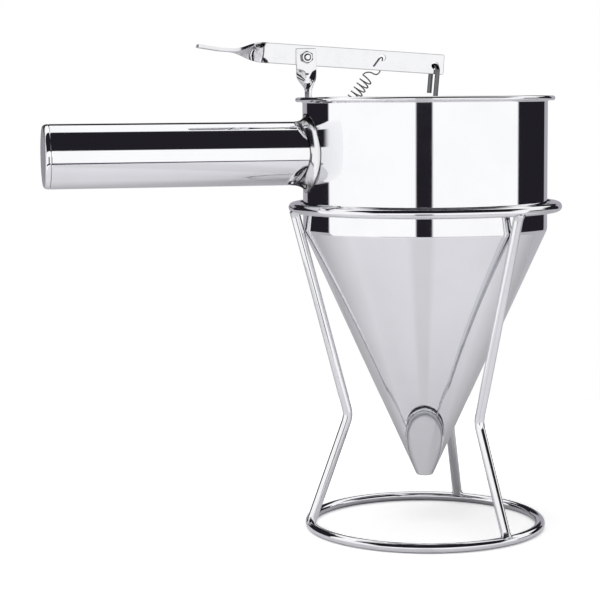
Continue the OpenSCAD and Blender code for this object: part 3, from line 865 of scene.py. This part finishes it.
class DISPENSER_OT_lever(bpy.types.Operator):
    """Makes the lever: a bar on edge, twisted a quarter turn into the thumb pad"""

    bl_idname = "dispenser.lever"
    bl_label = "Lever"

    def execute(self, context):
        size = settings().lever
        half = size.thickness / 2
        middle_z = size.pivot_drop
        low = (-size.back, -half, middle_z - size.height / 2)
        high = (size.front, half, middle_z + size.height / 2)
        bar = strip_bar("thumb_lever", low, high, "Z", STRIP_ROWS)
        select_by("FACE", lambda face, middle: face.normal.x < -0.9)
        for run, turn in quarter_twist(size.twist):
            extrude_selection((-run, 0, 0))
            turn_selection(turn, "X", (0, 0, middle_z))
        self.draw_pad(size, middle_z)
        end_x = size.front
        round_corners(
            lambda middle: middle.x > end_x - NEAR and at(abs(middle.z - middle_z), size.height / 2),
            size.corner,
        )
        soften_edges(bar, size.edge, 3, 60)
        bar.matrix_world = Matrix.Translation((PIVOT.x, BAR_Y, PIVOT.z)) @ Matrix.Rotation(size.slope, 4, "Y")
        apply_place(bar)
        drill(bar, "bolt_hole", size.bolt_hole, (PIVOT.x, BAR_Y, PIVOT.z))
        drill(bar, "rod_hole", size.rod_hole, ROD_PIVOT)
        drill(bar, "hook_hole", size.spring_hole, spring_top())
        finish_piece(bar, "lever", "strip_steel", "lever")
        weigh_normals(bar)
        dress(bar, lever_steel_with_painted_edge_lines("Lever Strip with Painted Edge Lines", settings().steel.strip, size))
        return {"FINISHED"}

    def draw_pad(self, size, middle_z):
        """Bends up from the twist's end and rounds off the pad's corners."""
        start_x = -size.back - size.twist - size.pad_run
        straight = size.pad - size.pad_round
        crease = 0.4 * MM
        half_bend = math.degrees(size.pad_bend) / 2
        extrude_selection((crease - size.pad_run, 0, 0))
        extrude_selection((-crease, 0, 0))
        turn_selection(half_bend, "Y", (start_x, 0, middle_z))
        extrude_selection((-crease, 0, 0))
        turn_selection(half_bend, "Y", (start_x - crease, 0, middle_z))
        run = Vector((-math.cos(size.pad_bend), 0, math.sin(size.pad_bend)))
        extrude_selection(run * (straight - 2 * crease))
        segments = 12
        before = 1.0
        for k in range(1, segments + 1):
            turn = math.pi / 2 * k / segments
            reach = size.pad_round * (math.sin(turn) - math.sin(turn - math.pi / 2 / segments))
            width = 1 - 2 * size.pad_round * (1 - math.cos(turn)) / size.height
            extrude_selection(run * reach)
            bpy.ops.transform.resize(value=(1, width / before, 1), center_override=(0, 0, 0))
            before = width


def around_pivot(name, outline, steps):
    """Spins an outline of places across the bar and radii round the pivot's axis."""
    points = [(PIVOT.x, y, PIVOT.z + radius) for y, radius in outline]
    return spun(name, points, steps, ALONG_Y, PIVOT, closed=False)


class DISPENSER_OT_bolt(bpy.types.Operator):
    """Makes the slotted pivot bolt and its hexagon nut"""

    bl_idname = "dispenser.bolt"
    bl_label = "Bolt and Nut"

    def execute(self, context):
        size = settings().bracket
        self.bolt(size)
        self.nut(size)
        return {"FINISHED"}

    def bolt(self, size):
        low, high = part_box("pivot_bolt")
        radius = size.bolt_radius
        pitch = size.pitch
        point = 0.3 * MM
        brim = 0.1 * MM
        crown = 0.4 * MM
        head_low = high.y - 1.8 * MM
        thread_end = EAR_Y - size.thickness / 2
        outline = [(low.y, 0), (low.y, radius - 0.35 * MM), (low.y + point, radius - 0.04 * MM)]
        place = low.y + point
        while place < thread_end:
            outline.append((place + pitch * 0.25, radius - 0.22 * MM))
            outline += [(place + pitch * 0.6, radius), (place + pitch * 0.8, radius)]
            place += pitch
        outline += [(place + pitch * 0.9, radius), (head_low, radius)]
        outline += [(head_low, size.head_radius - brim), (head_low + brim, size.head_radius)]
        for turn in [math.pi / 2 * k / 8 for k in range(9)]:
            top = high.y - crown + crown * math.sin(turn)
            outline.append((top, size.head_radius - crown * (1 - math.cos(turn))))
        outline.append((high.y, 0))
        bolt = around_pivot("pivot_bolt_turned", outline, 64)
        deselect_all()
        bpy.ops.mesh.primitive_cube_add(size=1, location=(PIVOT.x, high.y, PIVOT.z))
        slot = bpy.context.object
        slot.scale = (2 * THROUGH, 1.8 * MM, size.slot)
        slot.rotation_euler = (0, SLOT_TURN, 0)
        apply_place(slot)
        cut(bolt, slot)
        finish_piece(bolt, "funnel", "bolt_steel", "pivot_bolt", smooth_angle=30)
        dress(bolt, steel_with_painted_edge_reflection("Bolt with Painted Edge Reflection", settings().steel.bolt, 1.05 * MM, 1.6 * MM))

    def nut(self, size):
        low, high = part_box("pivot_nut")
        flat = size.nut_width / 2
        corner = flat / math.cos(math.radians(30))
        middle = (PIVOT.x, (low.y + high.y) / 2, PIVOT.z)
        nut = cylinder("pivot_nut_cut", corner, size.nut_height, middle, (0, -1, 0), vertices=6)
        turn = Matrix.Rotation(NUT_TURN, 4, "Y")
        nut.matrix_world = Matrix.Translation(PIVOT) @ turn @ Matrix.Translation(-PIVOT)
        apply_place(nut)
        rise = (corner - flat) * math.tan(math.radians(30))
        clear = 0.01 * MM
        chamfer = [
            (high.y + clear, 0),
            (high.y + clear, flat),
            (high.y - rise, corner + clear),
            (low.y + rise, corner + clear),
            (low.y - clear, flat),
            (low.y - clear, 0),
        ]
        cut(nut, around_pivot("nut_chamfer", chamfer, 96), "INTERSECT")
        bore = size.bolt_radius
        mouth = bore + 0.4 * MM
        hole = [
            (high.y + 1 * MM, 0),
            (high.y + 1 * MM, bore),
            (low.y + 0.35 * MM, bore),
            (low.y - 0.05 * MM, mouth),
            (low.y - 1 * MM, mouth),
            (low.y - 1 * MM, 0),
        ]
        cut(nut, around_pivot("nut_bore", hole, 64))
        soften_edges(nut, 0.14 * MM, 2, 25)
        finish_piece(nut, "funnel", "bolt_steel", "pivot_nut", smooth_angle=20)
        dress(nut, steel_with_painted_edge_reflection("Nut with Painted Edge Reflection", settings().steel.bolt, 2.4 * MM, 9 * MM))


# ---------------------------------------------------------------- spring and rod


def hermite(first, last, first_way, last_way, t):
    """A point of the smooth line that leaves first and reaches last in the given ways."""
    return (
        (2 * t**3 - 3 * t**2 + 1) * first + (t**3 - 2 * t**2 + t) * first_way
        + (3 * t**2 - 2 * t**3) * last + (t**3 - t**2) * last_way
    )


def spring_top():
    """Middle of the lever's hole for the spring."""
    lever = settings().lever
    reach = Matrix.Rotation(lever.slope, 3, "Y") @ Vector((lever.spring_reach, 0, lever.spring_rise))
    return Vector((PIVOT.x, BAR_Y, PIVOT.z)) + reach


def spring_line(size):
    """Centre line of the left-hand extension spring, hook to hook, and where its coils lie."""
    run = spring_top() - SPRING_ANCHOR
    span = run.length
    along = run / span
    across = Vector((along.z, 0, -along.x))
    coil_begin, coil_end = size.start - 2.5 * MM, span - size.start
    turn_steps, arch_steps, blend_steps = 28, 16, 16
    hook_turn = math.radians(40)
    side = Vector((0, math.cos(hook_turn), math.sin(hook_turn)))
    gap = 0.3 * MM
    arch = (settings().lever.thickness / 2 + gap + size.wire_radius) / math.cos(hook_turn)
    tail = 4.5 * MM

    def hook(place, way):
        """Half a turn through the hole, and a straight tail."""
        middle = place - way * arch
        line = []
        for k in range(arch_steps + 1):
            turn = math.pi * k / arch_steps
            line.append(Vector((middle + arch * way * math.sin(turn), 0, 0)) + arch * math.cos(turn) * side)
        line.append(Vector((place - way * (arch + tail), 0, 0)) - arch * side)
        return line

    def coil(share):
        turn = first + (last - first) * share
        place = coil_begin + (coil_end - coil_begin) * share
        return Vector((place, -size.coil_radius * math.cos(turn), -size.coil_radius * math.sin(turn)))

    def blend(start, end, leaving, arriving):
        ways = Vector(leaving) * MM, Vector(arriving) * MM
        return [hermite(start, end, *ways, k / blend_steps) for k in range(1, blend_steps)]

    steps = int(size.coils * turn_steps)
    last = math.pi / 2
    first = last - 2 * math.pi * size.coils
    coils = [coil(k / steps) for k in range(steps + 1)]
    top = hook(span, 1)
    low = [Vector((point.x, point.y, -point.z)) for point in hook(0, -1)]
    curl = Vector((span - 9 * MM, 1.4 * MM, 1.2 * MM))
    top_blend = blend(coils[-1], curl, (3, 6, 0), (1, 0, 9)) + [curl]
    top_blend += blend(curl, top[0], (1, 0, 9), (12, 0, -9))
    low_blend = blend(coils[0], low[0], (-2, -9, 0), (-11, 0, -3))
    line = low[::-1] + low_blend[::-1] + coils + top_blend + top
    axes = Matrix((along, ALONG_Y, across)).transposed()
    return [SPRING_ANCHOR + axes @ point for point in line], along, coil_begin, coil_end


class DISPENSER_OT_spring(bpy.types.Operator):
    """Draws the return spring's wire"""

    bl_idname = "dispenser.spring"
    bl_label = "Return Spring"

    def execute(self, context):
        size = settings().spring
        line, along, begin, end = spring_line(size)
        spring = draw_line("spring_wire_coil", line)
        bpy.ops.object.mode_set(mode="OBJECT")
        activate(spring)
        bpy.ops.object.convert(target="CURVE")
        spring = bpy.context.object
        spring.data.bevel_depth = size.wire_radius
        spring.data.bevel_resolution = 3
        spring.data.use_fill_caps = True
        bpy.ops.object.convert(target="MESH")
        spring = bpy.context.object
        apply_place(spring)
        bpy.ops.object.shade_smooth_by_angle(angle=math.radians(40))
        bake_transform(spring)
        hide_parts("return_spring")
        tone = settings().steel.spring
        dress(spring, drawn_steel("Drawn Spring Wire", tone, (1, 1, 1), (0.07, 0.15), 0.003, 1500, 0.8))
        return {"FINISHED"}


class DISPENSER_OT_rod(bpy.types.Operator):
    """Gives the pull rod and the valve ball their drawn and turned finish"""

    bl_idname = "dispenser.rod"
    bl_label = "Rod and Ball"

    def execute(self, context):
        steel = settings().steel
        wire = drawn_steel("Drawn Rod Wire", steel.rod, (6, 6, 0.4), (0.04, 0.10), 0.004, 500, 0.45)
        dress(frame["nodes"]["pull_rod"], wire)
        dress(frame["nodes"]["valve_ball"], polished_steel("Polished Ball", steel.polished))
        return {"FINISHED"}


# ---------------------------------------------------------------- stand


class DISPENSER_OT_stand(bpy.types.Operator):
    """Finishes the stand's wire and lays a weld bead at each joint of a leg and a ring"""

    bl_idname = "dispenser.stand"
    bl_label = "Stand"

    def execute(self, context):
        size = settings().stand
        tone = settings().steel.wire
        wire = polished_steel("Polished Stand Wire", tone, (1, 1, 1), (0.04, 0.10), 0.02)
        for node in ("stand_top_ring", "stand_base_ring", *LEG_NODES):
            dress(frame["nodes"][node], wire)
        weld = weld_steel("Stand Weld", settings().steel.weld)
        radius = (TOP_RING_HIGH.z - TOP_RING_LOW.z) / 2
        waist = Vector((size.waist_radius, 0, size.waist_height))
        top = Vector((TOP_RING_HIGH.x - radius, 0, TOP_RING_LOW.z))
        foot = Vector((BASE_RING_HIGH.x - radius, 0, BASE_RING_HIGH.z))
        pattern = self.bead(radius)
        for name, joint in (("top", top), ("base", foot)):
            way = joint - waist
            lean = Matrix.Rotation(math.atan2(way.x, way.z), 4, "Y")
            for k in range(LEGS):
                bead = pattern.copy()
                bead.data = pattern.data.copy()
                bead.name = f"weld_{name}_{k + 1}"
                bead.data.name = bead.name
                bpy.context.collection.objects.link(bead)
                turn = Matrix.Rotation(math.pi + LEG_TURN + 2 * math.pi * k / LEGS, 4, "Z")
                bead.matrix_world = turn @ Matrix.Translation(joint) @ lean
                finish_piece(bead, "stand", "weld_steel", smooth_angle=50)
                dress(bead, weld)
        bpy.data.objects.remove(pattern)
        return {"FINISHED"}

    def bead(self, radius):
        """Weld fillet round a leg's end, which widens along the ring as it comes near it."""
        deselect_all()
        around = radius * 1.004
        bpy.ops.mesh.primitive_circle_add(vertices=48, radius=around, fill_type="NGON", enter_editmode=True)
        bead = bpy.context.object
        bpy.ops.mesh.select_all(action="SELECT")
        rise = radius * 0.2
        bpy.ops.transform.translate(value=(0, 0, -4 * rise))
        widths = [1.0, 1.02, 1.06, 1.13, 1.23, 1.37, 1.55]
        for before, after in zip(widths, widths[1:]):
            extrude_selection((0, 0, rise))
            bpy.ops.transform.resize(value=(1, after / before, 1), center_override=(0, 0, 0))
        extrude_selection((0, 0, radius * 0.35))
        bpy.ops.transform.resize(value=(0.7, 0.9, 1), center_override=(0, 0, 0))
        bpy.ops.mesh.select_all(action="SELECT")
        bpy.ops.mesh.normals_make_consistent(inside=False)
        bpy.ops.object.mode_set(mode="OBJECT")
        return bead


# ---------------------------------------------------------------- stage


# The studio's walls: windows of azimuth and elevation in degrees. A third and a fourth number
# say how soft the sides and the lips are.
GREY_CARDS = (((133.7, 182), (-9, 14)), ((-182, -162.5), (-9, 14)))
SKIRT = (((79.8, 182), (-30, -8)), ((-182, -117.2), (-30, -8)))
DARK_CARDS = (
    ((-24.4, -9.3), (-24, 1), 1.2),
    ((-162.5, -117.2), (-8, 42)),
    ((79.8, 133.7), (-8, 7)),
    ((104, 133.7), (5, 21)),
    ((130, 182), (14, 37)),
    ((-182, -160), (14, 37)),
    ((-182, -160), (0.25, 4), 1, 0.25),
)
DARK_ROOF = (21, 96)
ROOF_REACH = 0.86
HORIZON = (((-60, 60), (-27.5, -21.6), 4, 0.5),)

FLOOR_RADIUS = 0.42
FLOOR_DROP = 0.02 * MM
FLOOR_FRONT = -13
# Where shade is painted on the floor, beside and behind the object: in degrees away from its front, and from
# what share to what.
PAINTED_SHADE_BESIDE = (80, 125, 1, 0.67)
PAINTED_SHADE_BEHIND = (125, 150, 1, 0.88)
# Painted shadow of the dark front card on the floor: its azimuths in degrees, and the span of Y in metres
# over which it fades out towards the object.
PAINTED_SHADOW_AZIMUTH = (-30, -8)
PAINTED_SHADOW_REACH = (-0.09, -0.05)
LAMP_PLACE = Vector((-0.25, -0.3, 1.5))
LAMP_AIM = Vector((0, 0, 0.1))
LAMP_SIZE = 1.2
CAMERA_PLACE = Matrix(
    (
        (0.9759, 0.0309, -0.2159, -0.26544),
        (-0.2180, 0.1036, -0.9704, -0.89612),
        (-0.0076, 0.9941, 0.1079, 0.22041),
        (0, 0, 0, 1),
    )
)


class Surroundings:
    """Nodes that tell the direction of a place in the world or on the floor, in degrees."""

    def __init__(self, owner, place):
        owner.use_nodes = True
        self.tree = owner.node_tree
        self.tree.nodes.clear()
        place = self.tree.nodes.new("ShaderNodeTexCoord").outputs[place]
        split = self.tree.nodes.new("ShaderNodeSeparateXYZ")
        self.tree.links.new(place, split.inputs["Vector"])
        self.x, self.y, self.z = split.outputs
        back = self.math("MULTIPLY", self.y, -1)
        self.azimuth = self.math("DEGREES", self.math("ARCTAN2", self.x, back))
        self.elevation = self.math("DEGREES", self.math("ARCSINE", self.z))
        self.overhead = self.math("DEGREES", self.math("ARCTAN2", self.z, back))

    def math(self, operation, *values):
        return math_node(self.tree, operation, *values)

    def band(self, source, low, high, soft=1.0):
        """1 between low and high degrees, 0 outside, with soft edges."""
        away = self.math("ABSOLUTE", self.math("SUBTRACT", source, (low + high) / 2))
        half = (high - low) / 2
        return self.ramp(away, half - soft, half + soft, 1, 0, "SMOOTHSTEP")

    def ramp(self, source, start, end, low, high, kind="LINEAR"):
        node = self.tree.nodes.new("ShaderNodeMapRange")
        node.interpolation_type = kind
        for name, value in (("From Min", start), ("From Max", end), ("To Min", low), ("To Max", high)):
            node.inputs[name].default_value = value
        self.tree.links.new(source, node.inputs["Value"])
        return node.outputs["Result"]

    def card(self, azimuth, elevation, soft=1.5, lip=1.0):
        """1 inside a window of azimuths and elevations."""
        sides = self.band(self.azimuth, *azimuth, soft)
        return self.math("MULTIPLY", sides, self.band(self.elevation, *elevation, lip))

    def cards(self, windows):
        """1 inside any of the windows."""
        found = self.card(*windows[0])
        for window in windows[1:]:
            found = self.math("MAXIMUM", found, self.card(*window))
        return found

    def mix(self, factor, first, second):
        return mix_node(self.tree, "Color", factor, first, second)

    def seen_by_camera(self):
        return self.tree.nodes.new("ShaderNodeLightPath").outputs["Is Camera Ray"]


class DISPENSER_OT_stage(bpy.types.Operator):
    """Sets the pale floor, the studio light and the camera"""

    bl_idname = "dispenser.stage"
    bl_label = "Stage"

    def execute(self, context):
        choice = settings().stage
        self.world(choice)
        self.floor(choice)
        self.lamp(choice)
        self.camera(choice)
        context.scene.view_settings.view_transform = "Standard"
        return {"FINISHED"}

    def world(self, choice):
        """White all round for reflections, with dark cards and a grey skirt behind the object."""
        world = bpy.data.worlds.new("Studio")
        bpy.context.scene.world = world
        sky = Surroundings(world, "Generated")
        overhead = sky.band(sky.overhead, *DARK_ROOF, 1.2)
        roof = sky.math("MULTIPLY", overhead, sky.band(sky.x, -ROOF_REACH, ROOF_REACH, 0.05))
        dark = sky.math("MAXIMUM", sky.cards(DARK_CARDS), roof)
        colour = sky.mix(sky.cards(GREY_CARDS), (choice.glow,) * 3, choice.grey_card)
        colour = sky.mix(sky.cards(SKIRT), colour, choice.skirt)
        colour = sky.mix(dark, colour, choice.card)
        colour = sky.mix(sky.cards(HORIZON), colour, choice.horizon)
        colour = sky.mix(sky.seen_by_camera(), colour, (1.0, 1.0, 1.0))
        background = sky.tree.nodes.new("ShaderNodeBackground")
        output = sky.tree.nodes.new("ShaderNodeOutputWorld")
        sky.tree.links.new(colour, background.inputs["Color"])
        sky.tree.links.new(background.outputs["Background"], output.inputs["Surface"])

    def floor(self, choice):
        """Pale floor, white to the camera but for shadows. The other rays see painted shade beside and behind
        the object, and a painted shadow of the dark front card.
        """
        deselect_all()
        place = (0, 0, -FLOOR_DROP)
        bpy.ops.mesh.primitive_circle_add(vertices=128, radius=FLOOR_RADIUS, fill_type="NGON", location=place)
        floor = bpy.context.object
        floor.name = "studio_floor"
        apply_place(floor)
        material = bpy.data.materials.new("Pale Floor")
        ground = Surroundings(material, "Object")
        tree = ground.tree
        # painted shade: the floor that reflections see is darker beside and behind the object
        away = ground.math("ABSOLUTE", ground.math("SUBTRACT", ground.azimuth, FLOOR_FRONT))
        painted_floor_shade = ground.math("MULTIPLY", ground.ramp(away, *PAINTED_SHADE_BESIDE), ground.ramp(away, *PAINTED_SHADE_BEHIND))
        pale = tuple(choice.floor)
        colour = ground.mix(painted_floor_shade, (0, 0, 0), pale)
        # painted shadow of the dark front card: a darker strip on the floor in front of the object
        near = ground.ramp(ground.y, *PAINTED_SHADOW_REACH, 0.5, 0)
        streak = ground.math("MULTIPLY", ground.band(ground.azimuth, *PAINTED_SHADOW_AZIMUTH, 5), near)
        colour = ground.mix(streak, colour, darker(pale, 0.78))
        plain = tree.nodes.new("ShaderNodeBsdfDiffuse")
        tree.links.new(colour, plain.inputs["Color"])
        bright = tree.nodes.new("ShaderNodeBsdfDiffuse")
        bright.inputs["Color"].default_value = (0.95, 0.95, 0.95, 1)
        glow = tree.nodes.new("ShaderNodeEmission")
        glow.inputs["Strength"].default_value = choice.floor_glow
        add = tree.nodes.new("ShaderNodeAddShader")
        mix = tree.nodes.new("ShaderNodeMixShader")
        output = tree.nodes.new("ShaderNodeOutputMaterial")
        tree.links.new(bright.outputs[0], add.inputs[0])
        tree.links.new(glow.outputs[0], add.inputs[1])
        tree.links.new(ground.seen_by_camera(), mix.inputs[0])
        tree.links.new(plain.outputs[0], mix.inputs[1])
        tree.links.new(add.outputs[0], mix.inputs[2])
        tree.links.new(mix.outputs[0], output.inputs["Surface"])
        dress(floor, material)

    def lamp(self, choice):
        deselect_all()
        bpy.ops.object.light_add(type="AREA", location=LAMP_PLACE)
        lamp = bpy.context.object
        lamp.name = "soft_box"
        lamp.data.shape = "SQUARE"
        lamp.data.size = LAMP_SIZE
        lamp.data.energy = choice.lamp_power
        lamp.rotation_euler = (LAMP_AIM - LAMP_PLACE).to_track_quat("-Z", "Y").to_euler()
        lamp.visible_glossy = False

    def camera(self, choice):
        deselect_all()
        bpy.ops.object.camera_add()
        camera = bpy.context.object
        camera.name = "camera"
        camera.data.lens = choice.lens
        camera.data.sensor_width = 36
        camera.matrix_world = CAMERA_PLACE
        bpy.context.scene.camera = camera


# ---------------------------------------------------------------- add-on


class DispenserSettings(bpy.types.PropertyGroup):
    funnel: PointerProperty(type=FunnelSizes)
    handle: PointerProperty(type=HandleSizes)
    lever: PointerProperty(type=LeverSizes)
    bracket: PointerProperty(type=BracketSizes)
    spring: PointerProperty(type=SpringSizes)
    stand: PointerProperty(type=StandSizes)
    steel: PointerProperty(type=SteelColours)
    stage: PointerProperty(type=StageSettings)


PIECES = (
    "dispenser.funnel",
    "dispenser.handle",
    "dispenser.end_cap",
    "dispenser.bracket",
    "dispenser.lever",
    "dispenser.bolt",
    "dispenser.spring",
    "dispenser.rod",
    "dispenser.stand",
    "dispenser.stage",
)


class DISPENSER_PT_panel(bpy.types.Panel):
    """Sidebar panel with the sizes, colours and build buttons"""

    bl_idname = "DISPENSER_PT_panel"
    bl_label = "Batter Dispenser"
    bl_space_type = "VIEW_3D"
    bl_region_type = "UI"
    bl_category = "Dispenser"

    def draw(self, context):
        for name in ("funnel", "handle", "lever", "bracket", "spring", "stand", "steel", "stage"):
            group = getattr(context.scene.dispenser, name)
            box = self.layout.box()
            box.label(text=name.title())
            for field in group.bl_rna.properties:
                if field.identifier not in ("name", "rna_type"):
                    box.prop(group, field.identifier)
        for operator in PIECES:
            self.layout.operator(operator)


CLASSES = (
    FunnelSizes,
    HandleSizes,
    LeverSizes,
    BracketSizes,
    SpringSizes,
    StandSizes,
    SteelColours,
    StageSettings,
    DispenserSettings,
    DISPENSER_OT_funnel,
    DISPENSER_OT_handle,
    DISPENSER_OT_end_cap,
    DISPENSER_OT_bracket,
    DISPENSER_OT_lever,
    DISPENSER_OT_bolt,
    DISPENSER_OT_spring,
    DISPENSER_OT_rod,
    DISPENSER_OT_stand,
    DISPENSER_OT_stage,
    DISPENSER_PT_panel,
)


def register():
    for item in CLASSES:
        bpy.utils.register_class(item)
    bpy.types.Scene.dispenser = PointerProperty(type=DispenserSettings)


def unregister():
    del bpy.types.Scene.dispenser
    for item in reversed(CLASSES):
        bpy.utils.unregister_class(item)


def main():
    register()
    for operator in PIECES:
        group, name = operator.split(".")
        getattr(getattr(bpy.ops, group), name)()
    deselect_all()


if __name__ == "__main__":
    main()
